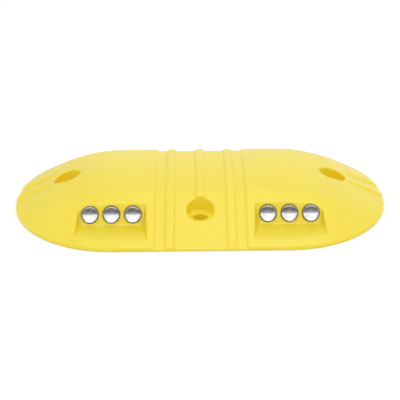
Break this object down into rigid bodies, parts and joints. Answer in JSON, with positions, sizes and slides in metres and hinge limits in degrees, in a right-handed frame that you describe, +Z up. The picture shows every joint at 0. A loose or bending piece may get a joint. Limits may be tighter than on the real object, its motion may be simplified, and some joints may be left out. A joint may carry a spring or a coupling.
{
  "type": "road stud",
  "caption": "Low oval moulded road stud with ribbed deck, sloping sides, counterbored anchor holes and glass lenses with reflector cups in recessed pockets facing both traffic directions.",
  "frame": {"origin": "centre of the base on the road surface", "axes": "+X along the stud's length, +Y away from the front lenses, +Z up from the road"},
  "size_m": [0.4, 0.25, 0.0405],
  "materials": {
    "body_plastic": "satin moulded",
    "lens_glass": "polished",
    "reflector_metal": "bright pressed"
  },
  "bodies": {
    "root": {"body": "body_plastic", "lens_front_left_inner": "lens_glass", "lens_front_left_middle": "lens_glass", "lens_front_left_outer": "lens_glass", "lens_front_right_inner": "lens_glass", "lens_front_right_middle": "lens_glass", "lens_front_right_outer": "lens_glass", "lens_rear_left_inner": "lens_glass", "lens_rear_left_middle": "lens_glass", "lens_rear_left_outer": "lens_glass", "lens_rear_right_inner": "lens_glass", "lens_rear_right_middle": "lens_glass", "lens_rear_right_outer": "lens_glass", "reflector_cup_front_left_inner": "reflector_metal", "reflector_cup_front_left_middle": "reflector_metal", "reflector_cup_front_left_outer": "reflector_metal", "reflector_cup_front_right_inner": "reflector_metal", "reflector_cup_front_right_middle": "reflector_metal", "reflector_cup_front_right_outer": "reflector_metal", "reflector_cup_rear_left_inner": "reflector_metal", "reflector_cup_rear_left_middle": "reflector_metal", "reflector_cup_rear_left_outer": "reflector_metal", "reflector_cup_rear_right_inner": "reflector_metal", "reflector_cup_rear_right_middle": "reflector_metal", "reflector_cup_rear_right_outer": "reflector_metal"}
  },
  "joints": []
}
